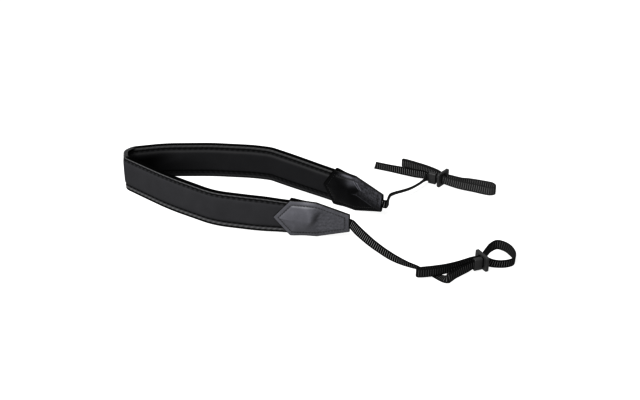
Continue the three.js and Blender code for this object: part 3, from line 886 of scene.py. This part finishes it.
def tip_relief(tip, d, up):
    """Relief of the leather's outer face: rounded cut, sewn lines, swollen panel and wrinkles."""
    inset = tip_inset(tip, d, up)
    cut = fade(np.minimum(inset, d), 0, CUT_EDGE)
    step = SHOULDER * smooth(inset, TIP_STITCH_INSET, TIP_STITCH_INSET + SHOULDER_RISE)
    short = np.clip(1 - (inset - TIP_STITCH_INSET) / DOME_RISE, 0, 1)
    panel = tip_climb(d - DOME_LAG, up) * (step + DOME * (1 - short**2))
    seed = WRINKLE_SEED[tip.end]
    flat = smooth(d, *WRINKLE_FADE) * (1 - tip_climb(d, up)) * smooth(inset, *WRINKLE_INSET)
    wrinkles = WRINKLE * flat * crumple(d, up, WRINKLE_LENGTH, seed)
    ripples = RIPPLE * crumple(d, up, RIPPLE_LENGTH, seed + 1)
    return panel - CUT_ROUNDING * cut - TIP_GROOVE * tip_grooves(tip, d, up) + wrinkles + ripples


def tip_front(tip, d, up):
    """How far the leather's outer face stands off the parting plane."""
    return tip_standoff(tip, d, up) + LEATHER + tip_relief(tip, d, up)


def tip_point(tip, d, up, out):
    depth = d - TIP_END_SLANT[tip.end] * up * fade(d, 0, TIP_TAPER)
    s = depth if tip.end == "rear" else BAND_LENGTH - depth
    return band_point(s, SIDES[tip.face] * out, TIP_HEIGHT + up)


def make_tip(name, tip, material):
    depth = TIP_CORNER + CHEVRON[tip.face]
    rows = np.linspace(0, depth, round(depth / TIP_STEP))
    d = np.unique(np.concatenate([rows, CUT_ROWS, [TIP_TAPER, TIP_CORNER]]))[:, None]
    even = np.linspace(-1, 1, TIP_COLUMNS + 1)
    share = np.sort(np.concatenate([even, [-CUT_COLUMN, CUT_COLUMN]]))[None, :]
    up = share * tip_half_width(tip, d)
    front = tip_point(tip, d, up, tip_front(tip, d, up))
    back = tip_point(tip, d, up, tip_standoff(tip, d, up))
    black = tip_black(tip, d, up)
    retoned, painted_highlight = tip_wear_and_highlights(tip, d, up)
    places = cloth_places(d, up)
    attributes = {"edge": two_faced(black, np.ones_like(black)), "cloth": two_faced(places, places)}
    for key, shares in (("groove", tip_painted_shade(tip, d, up)), ("retoned", retoned), ("painted_highlight", painted_highlight)):
        attributes[key] = two_faced(shares, np.zeros_like(shares))
    return swept(name, two_faced(front, back), material, attributes)


def sewn_corners(tip):
    """Corners of a tip's sewn line as depth and height, once round from the lower end of its end seam."""
    lines = [(slope, width - TIP_STITCH_INSET * math.hypot(1, slope)) for slope, width in tip_edges(tip)]
    upper = [(TIP_END_STITCH, lines[0][0] * TIP_END_STITCH + lines[0][1])]
    for (slope_a, width_a), (slope_b, width_b) in zip(lines, lines[1:]):
        d = (width_b - width_a) / (slope_a - slope_b)
        upper.append((d, slope_a * d + width_a))
    point = (-lines[-1][1] / lines[-1][0], 0)
    lower = [(d, -up) for d, up in upper]
    return np.array([*lower, point, *upper[::-1], lower[0]])


def tip_stitch_line(tip):
    corners = sewn_corners(tip)
    run = run_lengths(corners)

    def place(along, height):
        d = np.interp(along, run, corners[:, 0])
        up = np.interp(along, run, corners[:, 1])
        return tip_point(tip, d, up, tip_front(tip, d, up) + height)

    return run[-1], TIP_PITCH, TIP_STITCH, place


# Webbing

def holder_point(holder, along, across, up):
    """Points in a slide's or keeper's own measures: along towards the lug loop, across to the rear, up."""
    heading = math.radians(holder.heading)
    x = holder.x + along * math.cos(heading) - across * math.sin(heading)
    y = holder.y + along * math.sin(heading) + across * math.cos(heading)
    return np.stack(np.broadcast_arrays(x, y, holder.z + up), axis=-1)


def lane(holder, across, start, end, lean):
    """Straight strand through a slide or keeper, with a point inside each end to hold it straight."""
    inset = math.copysign(LANE_INSET, end - start)
    along = np.array([start, start + inset, end - inset, end])
    return [(*point, lean) for point in holder_point(holder, along, across, 0)]


def bar_turn(slide, lean):
    """Half turn of the strand round the middle bar, on the lug loop's side."""
    angle = np.radians(BAR_TURN)
    along = SLIDE_THICK / 2 + LANE_NEAR * np.cos(angle)
    return [(*point, lean) for point in holder_point(slide, along, LANE_NEAR * np.sin(angle), 0)]


def web_route(name):
    """Whole route of one webbing, from inside the leather to its cut end: x, y, z, lean and rib levelling.
    """
    end = ENDS[name]
    face = SLIDE_THICK / 2
    sleeve = KEEPER_LENGTH / 2
    depths = np.array([WEB_SEWN, WEB_SEWN / 2, 0])
    sewn = band_point(depths if name == "rear" else BAND_LENGTH - depths, 0, np.full(3, TIP_HEIGHT))
    parts = {
        "incoming": [
            *((*point, 0) for point in sewn),
            *end.incoming,
        ],
        "tuck": [
            *end.tuck,
            *lane(end.keeper, -KEEPER_LANE, -sleeve - KEEPER_LEAD, sleeve, end.lean),
            *lane(end.slide, -LANE_FAR, -face, face + LOOP_LEAD, end.lean),
        ],
        "loop": end.loop,
        "turn": end.turn,
        "back": [
            *end.back,
            *lane(end.slide, LANE_FAR, face + LOOP_LEAD, -face - FOLD_LEAD, end.lean),
        ],
        "fold": [
            *end.fold,
            *lane(end.slide, LANE_NEAR, -face - FOLD_LEAD, face, end.lean),
            *bar_turn(end.slide, end.lean),
            *lane(end.slide, -LANE_NEAR, face, -face, end.lean),
        ],
        "free": [
            *lane(end.keeper, KEEPER_LANE, sleeve, -sleeve - KEEPER_LEAD, end.lean),
            *end.free,
        ],
    }
    levelling = RIB_LEVELLING[name]._asdict()
    return np.array([(*row, levelling[part]) for part, rows in parts.items() for row in rows], float)


def web_frames(name):
    """Even places along one webbing, with their run and width directions and their rib levelling."""
    route = web_route(name)
    fine = spline(route[:, :3], ROUTE_STEPS)
    run = run_lengths(fine)
    row = np.arange(len(fine)) / ROUTE_STEPS
    lean, levelling = (np.interp(row, np.arange(len(route)), column) for column in route[:, 3:].T)
    s = np.linspace(0, run[-1], round(run[-1] / RIB_PITCH * RIB_SAMPLES))
    at = np.stack([np.interp(s, run, fine[:, axis]) for axis in range(3)], axis=-1)
    padded = np.pad(np.interp(s, run, lean), LEAN_SMOOTHING // 2, mode="edge")
    lean = np.radians(np.convolve(padded, np.full(LEAN_SMOOTHING, 1 / LEAN_SMOOTHING), mode="valid"))
    forward = unit(np.gradient(at, axis=0))
    upright = np.array([0.0, 0.0, 1.0])
    level = unit(upright - forward * forward[:, 2:])
    up = level * np.cos(lean)[:, None] + np.cross(forward, level) * np.sin(lean)[:, None]
    return s, at, forward, up, np.interp(s, run, levelling)


def make_webbing(name, end, material):
    """One webbing and its length."""
    s, at, forward, up, levelling = web_frames(end)
    half = np.array(WEB_ACROSS)
    across = np.concatenate([-half[:0:-1], half])
    from_middle = np.abs(across)
    core = WEB_CORE * np.sqrt(smooth(WEB_WIDTH / 2 - from_middle, *WEB_SELVEDGE))
    bead = WEB_BEAD * bell(from_middle, WEB_BEAD_AT, WEB_BEAD_WIDTH)
    wave = (1 + np.cos(math.tau * s / RIB_PITCH)) / 2
    rib = wave[:, None] * fade(from_middle, *RIB_ENDS)
    thick = core + bead + WEB_RIB * rib
    slant = CUT_SLANT / WEB_WIDTH * fade(s[-1] - s, 0, CUT_SLANT_LENGTH)
    middle = at[:, None] + up[:, None] * across[None, :, None]
    middle = middle - forward[:, None] * (slant[:, None] * across)[..., None]
    offset = np.cross(forward, up)[:, None] * thick[..., None]
    places = cloth_places(s[:, None], across[None, :])
    attributes = {
        "rib": two_faced(rib, rib),
        "level": levelling[:, None],
        "retone_shade": np.full((1, 1), RIB_LEVEL_SHADE[end]),
        "cloth": two_faced(places, places),
    }
    piece = swept(name, two_faced(middle + offset, middle - offset), material, attributes)
    return piece, s[-1]


# Slides and keepers

def rounded_ring(width, height, corner):
    """Points round a rounded rectangle, with a point in the middle of each side."""
    ring = []
    for quarter, (right, top) in enumerate(SQUARE):
        for step in range(CORNER_STEPS + 1):
            angle = (quarter + step / CORNER_STEPS) * math.pi / 2
            x = right * (width / 2 - corner) + corner * math.cos(angle)
            y = top * (height / 2 - corner) + corner * math.sin(angle)
            ring.append((x, y))
        ring.append((width / 2 * math.cos(angle), height / 2 * math.sin(angle)))
    return np.array(ring)


def edge_profile(half_length):
    """Rounded edge between two faces of a moulding, as pairs of place along and inset."""
    angles = np.linspace(0, math.pi / 2, ROUNDING_STEPS)
    rows = [(half_length - ROUNDING * (1 - math.sin(a)), ROUNDING * (1 - math.cos(a))) for a in angles]
    return [*((-along, inset) for along, inset in rows[::-1]), *rows]


def moulded_ring(holder, along, middle, width, height, corner):
    """Rounded rectangle across a slide or keeper."""
    ring = rounded_ring(width, height, corner)
    return holder_point(holder, along, middle + ring[:, 0], ring[:, 1])


def make_keeper(name, holder, material):
    """Sleeve whose rings run along its outside and back through its hole."""
    hole = 2 * (KEEPER_LANE + WEB / 2 + WEB_GAP)
    across = hole + 2 * KEEPER_WALL
    height = SLOT_HEIGHT + 2 * KEEPER_WALL
    profile = edge_profile(KEEPER_LENGTH / 2)
    loops = []
    for along, inset in profile:
        loops.append(moulded_ring(holder, along, 0, across - 2 * inset, height - 2 * inset, KEEPER_CORNER))
    for along, inset in profile[::-1]:
        flare = KEEPER_FLARE * inset
        size = (hole + 2 * flare, SLOT_HEIGHT + 2 * flare, KEEPER_HOLE_CORNER + flare)
        loops.append(moulded_ring(holder, along, 0, *size))
    points = np.vstack(loops)
    walls = ring_faces(len(loops) + 1, len(loops[0]), capped=False)
    faces = [[corner % len(points) for corner in face] for face in walls]
    return new_object(name, points, faces, material)


def make_slide(name, holder, material):
    """Plate with two slots: a wall round each outline, and two flat faces between them."""
    slot_middle = (SLIDE_BAR + SLOT_ACROSS) / 2
    outlines = [
        (0, SLIDE_ACROSS, SLIDE_HEIGHT, SLIDE_CORNER, -1),
        (-slot_middle, SLOT_ACROSS, SLOT_HEIGHT, SLOT_CORNER, 1),
        (slot_middle, SLOT_ACROSS, SLOT_HEIGHT, SLOT_CORNER, 1),
    ]
    profile = edge_profile(SLIDE_THICK / 2)
    points = []
    faces = []
    rims = {0: [], len(profile) - 1: []}
    for middle, width, height, corner, grows in outlines:
        base = sum(len(part) for part in points)
        rings = []
        for along, inset in profile:
            grown = grows * inset
            size = (width + 2 * grown, height + 2 * grown, corner + grown)
            rings.append(moulded_ring(holder, along, middle, *size))
        count = len(rings[0])
        wall = ring_faces(len(rings), count, capped=False)
        faces.extend([base + k for k in face] for face in wall)
        for row, rim in rims.items():
            rim.append(range(base + row * count, base + (row + 1) * count))
        points.extend(rings)
    points = np.vstack(points)
    for rim in rims.values():
        corners = [k for loop in rim for k in loop]
        filled = tessellate_polygon([[Vector(points[k]) for k in loop] for loop in rim])
        faces.extend([corners[k] for k in triangle] for triangle in filled)
    return new_object(name, points, faces, material)


# Materials

SHADER = "Principled BSDF"
# Sockets of a node that mixes colours
MIX_SHARE = 0
MIX_A = 6
MIX_B = 7
MIX_RESULT = 2
WAVE_RATE = 20  # phase of the wave texture in radians, for each unit at scale 1
WAVE_DISTORTION = 0.3
CLOTH_FLECK = 0.6  # lightness of the cloth's flecks, as a share of its own
# Painted shade in the sewn grooves, as shares of black
CLOTH_GROOVE_SHADE = 0.6  # share of black in the sewn groove, where it is darkest
CLOTH_FUZZ = 0.5
LEATHER_BLUE = 0.1
# Share of painted shade in the leather's sewn lines and hollow
LEATHER_GROOVE_SHADE = 0.35
LEATHER_ROUGHNESS = (-0.07, 0.1)  # least and most change of it over the blotches
LEATHER_PORE = 0.12
LEATHER_UNEVEN = 0.4
# Colour of the leather's painted highlights
HIGHLIGHT_SHADE = 0.16
# The webbing's black, and the painted highlight on its rib crests
WEB_SHADE = 0.001
RIB_HIGHLIGHT = 0.21
RIB_SHARPNESS = 6


def new_material(name, constants):
    """Node material with constant values set on its shader's own sockets."""
    material = bpy.data.materials.new(name)
    material.use_nodes = True
    tree = material.node_tree
    for socket, value in constants.items():
        tree.nodes[SHADER].inputs[socket].default_value = value
    return material, tree


def add(tree, kind, inputs, **settings):
    """New node with its settings, and inputs that are values or other nodes' outputs."""
    node = tree.nodes.new(kind)
    for key, value in settings.items():
        setattr(node, key, value)
    for socket, value in inputs.items():
        if isinstance(value, bpy.types.NodeSocket):
            tree.links.new(value, node.inputs[socket])
        else:
            node.inputs[socket].default_value = value
    return node


def attribute(tree, name, output="Fac"):
    return add(tree, "ShaderNodeAttribute", {}, attribute_name=name).outputs[output]


def grey(value, blue=0.0):
    return (value, value, value * (1 + blue), 1)


def mixed(tree, share, a, b):
    """Colour between a and b."""
    inputs = {MIX_SHARE: share, MIX_A: a, MIX_B: b}
    return add(tree, "ShaderNodeMix", inputs, data_type="RGBA").outputs[MIX_RESULT]


def tones(tree, share, shade, spread, blue=0.0):
    """Grey that varies by a spread to both sides of its shade."""
    return mixed(tree, share, grey(shade * (1 - spread), blue), grey(shade * (1 + spread), blue))


def ranged(tree, value, low, high, ends="To"):
    """A value of 0 to 1 spread between low and high, or with From as ends the other way round."""
    inputs = {"Value": value, f"{ends} Min": low, f"{ends} Max": high}
    return add(tree, "ShaderNodeMapRange", inputs).outputs["Result"]


def maths(tree, operation, a, b):
    return add(tree, "ShaderNodeMath", {0: a, 1: b}, operation=operation).outputs[0]


def noise(tree, scale, detail, vector=None):
    """Noise at given places, or else at those of the object's own frame."""
    where = vector or add(tree, "ShaderNodeTexCoord", {}).outputs["Object"]
    inputs = {"Scale": scale, "Detail": detail, "Vector": where}
    return add(tree, "ShaderNodeTexNoise", inputs).outputs["Fac"]


def waves(tree, axis, pitch, vector):
    """Sine bands of a pitch along X or Y."""
    inputs = {"Scale": math.tau / WAVE_RATE / pitch, "Distortion": WAVE_DISTORTION, "Vector": vector}
    return add(tree, "ShaderNodeTexWave", inputs, bands_direction=axis).outputs["Fac"]


def blackened(tree, colour, groove_shade_share, shade):
    """Colour with painted shade in the grooves, hollow and fold, and black along the edge."""
    groove = maths(tree, "MULTIPLY", attribute(tree, "groove"), groove_shade_share)
    for black in (groove, attribute(tree, "edge")):
        colour = mixed(tree, black, colour, grey(shade))
    return colour


def dress(tree, colour, roughness, height, distance, strength):
    """Links colour, roughness and bump to a material's shader."""
    bump = add(tree, "ShaderNodeBump", {"Height": height, "Distance": distance, "Strength": strength})
    links = {"Base Color": colour, "Roughness": roughness, "Normal": bump.outputs["Normal"]}
    for socket, output in links.items():
        tree.links.new(output, tree.nodes[SHADER].inputs[socket])


def cloth_material(name, shade, border_light, edge_shade, thread):
    """Matt woven cloth: painted light on its border, painted shade in the sewn groove, black along the
    edge.
    """
    material, tree = new_material(name, {"Specular IOR Level": 0.0})
    cloth = attribute(tree, "cloth", "Vector")
    mottle = noise(tree, scale=0.06, detail=4, vector=cloth)
    fleck = noise(tree, scale=2.2, detail=2, vector=cloth)
    colour = tones(tree, mottle, shade, spread=0.14, blue=0.06)
    colour = mixed(tree, ranged(tree, fleck, low=0, high=0.3), colour, grey(shade * CLOTH_FLECK))
    # painted light on the border, uneven with the flecks
    retoned = maths(tree, "MULTIPLY", attribute(tree, "border"), ranged(tree, fleck, low=0.6, high=1.2))
    colour = mixed(tree, retoned, colour, grey(border_light))
    colour = blackened(tree, colour, CLOTH_GROOVE_SHADE, edge_shade)
    weave = maths(tree, "MULTIPLY", waves(tree, "X", thread, cloth), waves(tree, "Y", thread, cloth))
    height = maths(tree, "ADD", weave, maths(tree, "MULTIPLY", fleck, CLOTH_FUZZ))
    roughness = ranged(tree, fleck, low=0.75, high=0.95)
    dress(tree, colour, roughness, height, distance=0.00006, strength=0.6)
    return material


def leather_material(name, shade, retone_shade, scuffs, edge_shade, roughness, specular):
    """Satin leather with a fine grain and a worn end, painted shade in its sewn lines and a black cut edge.
    """
    material, tree = new_material(name, {"Specular IOR Level": specular})
    where = add(tree, "ShaderNodeTexCoord", {}).outputs["Object"]
    grain = add(tree, "ShaderNodeTexVoronoi", {"Scale": 900, "Vector": where}, feature="DISTANCE_TO_EDGE")
    blotch = noise(tree, scale=140, detail=5)
    scuff = ranged(tree, noise(tree, scale=450, detail=3), low=0.35, high=0.65, ends="From")
    colour = tones(tree, blotch, shade, spread=0.2, blue=LEATHER_BLUE)
    # worn end; on the neck's side it is lightened as painted reflection, and its top strip as painted light
    retoned = tones(tree, scuff, retone_shade, scuffs, LEATHER_BLUE)
    colour = mixed(tree, attribute(tree, "retoned"), colour, retoned)
    # painted highlights
    colour = mixed(tree, attribute(tree, "painted_highlight"), colour, grey(HIGHLIGHT_SHADE, LEATHER_BLUE))
    colour = blackened(tree, colour, LEATHER_GROOVE_SHADE, edge_shade)
    pores = maths(tree, "MINIMUM", grain.outputs["Distance"], LEATHER_PORE)
    height = maths(tree, "ADD", pores, maths(tree, "MULTIPLY", blotch, LEATHER_UNEVEN))
    varied = ranged(tree, blotch, *(roughness + change for change in LEATHER_ROUGHNESS))
    dress(tree, colour, varied, height, distance=0.0003, strength=0.5)
    return material


def webbing_material():
    """Black nylon webbing with painted highlights on its ribs, and fine yarns running along it."""
    material, tree = new_material("webbing", {"Specular IOR Level": 0.05})
    cloth = attribute(tree, "cloth", "Vector")
    yarn = waves(tree, "Y", 0.8, cloth)
    fibre = noise(tree, scale=1.6, detail=3, vector=cloth)
    # painted highlight on each rib's crest, uneven with its fibres
    crest = maths(tree, "POWER", attribute(tree, "rib"), RIB_SHARPNESS)
    retoned = maths(tree, "MULTIPLY", crest, ranged(tree, fibre, low=0.6, high=1.2))
    colour = mixed(tree, retoned, grey(WEB_SHADE), grey(RIB_HIGHLIGHT))
    # evens the ribs' painted highlights out to a flat grey
    colour = mixed(tree, attribute(tree, "level"), colour, attribute(tree, "retone_shade"))
    roughness = ranged(tree, fibre, low=0.6, high=0.85)
    dress(tree, colour, roughness, maths(tree, "ADD", yarn, fibre), distance=0.00008, strength=0.5)
    return material


def plastic_material():
    """Moulded black plastic with a fine spark-eroded texture."""
    material, tree = new_material("plastic", {"Specular IOR Level": 0.3})
    texture = noise(tree, scale=2600, detail=2)
    cloudy = noise(tree, scale=90, detail=3)
    colour = mixed(tree, cloudy, grey(0.028), grey(0.04))
    roughness = ranged(tree, cloudy, low=0.42, high=0.58)
    dress(tree, colour, roughness, texture, distance=0.00004, strength=0.5)
    return material


def thread_material(name, shade):
    """Dark sewing thread, uneven with its fibres."""
    material, tree = new_material(name, {"Specular IOR Level": 0.1})
    fibre = noise(tree, scale=1500, detail=3)
    colour = tones(tree, fibre, shade, spread=0.6)
    roughness = ranged(tree, fibre, low=0.5, high=0.75)
    dress(tree, colour, roughness, fibre, distance=0.0001, strength=0.5)
    return material


def floor_material():
    """White light table: it glows, so that shadows on it stay faint."""
    constants = {
        "Roughness": 0.9,
        "Specular IOR Level": 0.0,
        "Emission Color": grey(1),
        "Emission Strength": 0.9,
    }
    material, tree = new_material("floor", constants)
    soft = noise(tree, scale=3, detail=2)
    tree.links.new(mixed(tree, soft, grey(0.1), grey(0.11)), tree.nodes[SHADER].inputs["Base Color"])
    return material


# Stage

def make_camera():
    data = bpy.data.cameras.new("camera")
    data.lens = CAMERA_LENS
    data.sensor_width = SENSOR_WIDTH
    camera = linked("camera", data)
    camera.location = CAMERA_PLACE
    camera.rotation_euler = (math.radians(CAMERA_TILT), 0, 0)
    bpy.context.scene.camera = camera


def make_softbox(name):
    """Square area light that faces the origin."""
    data = bpy.data.lights.new(name, "AREA")
    data.size = SOFTBOX_SIZE
    data.energy = SOFTBOX_POWER
    light = linked(name, data)
    light.location = SOFTBOX_PLACE
    light.rotation_euler = (-Vector(SOFTBOX_PLACE)).to_track_quat("-Z", "Y").to_euler()


def make_floor():
    mesh = bpy.data.meshes.new("floor")
    mesh.from_pydata([(x * FLOOR_HALF, y * FLOOR_HALF, FLOOR_HEIGHT) for x, y in SQUARE], [], [range(4)])
    mesh.materials.append(floor_material())
    floor = linked("floor", mesh)


def make_stage():
    """Pale floor, white surroundings, a soft light and the contrast of the photo."""
    make_floor()
    world = bpy.data.worlds.new("studio")
    world.use_nodes = True
    background = world.node_tree.nodes["Background"]
    background.inputs["Color"].default_value = grey(1)
    background.inputs["Strength"].default_value = 1.0
    bpy.context.scene.world = world
    make_softbox("front_left")
    bpy.context.scene.view_settings.view_transform = "Standard"
    bpy.context.scene.view_settings.gamma = CONTRAST_GAMMA


# Pieces

def settle(piece, slot, *nodes):
    """Puts a piece on the part's body and hides the nodes that it stands for; its slot is not used."""
    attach(piece, BODY)
    if nodes:
        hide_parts(*nodes)
    return piece


def make_band():
    thread = thread_material("band_thread", shade=0.006)
    cover = cloth_material("cover", shade=0.0425, border_light=0.1, edge_shade=0.002, thread=0.55)
    lining = cloth_material("lining", shade=0.026, border_light=0.066, edge_shade=0.002, thread=0.7)
    for face, slot, material in (("outer", "cover", cover), ("inner", "lining", lining)):
        half = settle(make_pad_half(f"band_{slot}", face, material), slot, f"pad_{face}")
        settle(make_stitches(f"stitching_{slot}", pad_stitch_lines(face), PAD_THREAD, thread), slot)


def make_tips():
    # the tips' thread is lighter than the band's, as painted light on its stitches
    thread = thread_material("tip_thread_lit", shade=0.042)
    outer = {"shade": 0.078, "retone_shade": 0.064, "scuffs": 0.13, "edge_shade": 0.004}
    # the leather on the neck's side is the same hide, made darker as painted shade
    inner = {"shade": 0.006, "retone_shade": 0.043, "scuffs": 0.4, "edge_shade": 0.002}
    looks = {
        "outer": leather_material("leather_outer", **outer, roughness=0.45, specular=0.3),
        "inner": leather_material("leather_inner_shaded", **inner, roughness=0.35, specular=0.1),
    }
    for end in ENDS:
        for face, material in looks.items():
            tip = Tip(end, face)
            piece = settle(make_tip(f"tip_{end}_{face}", tip, material), "hide", f"leather_{end}_{face}")
            sewn = make_stitches(f"stitching_tip_{end}_{face}", [tip_stitch_line(tip)], TIP_THREAD, thread)
            settle(sewn, "hide")


def make_ends():
    nylon = webbing_material()
    plastic = plastic_material()
    for name, end in ENDS.items():
        web, length = make_webbing(f"web_{name}", name, nylon)
        settle(web, "nylon", f"webbing_{name}")
        settle(make_slide(f"slide_body_{name}", end.slide, plastic), "plastic", f"slide_{name}")
        settle(make_keeper(f"keeper_body_{name}", end.keeper, plastic), "plastic", f"keeper_{name}")


make_camera()
make_band()
make_tips()
make_ends()
make_stage()
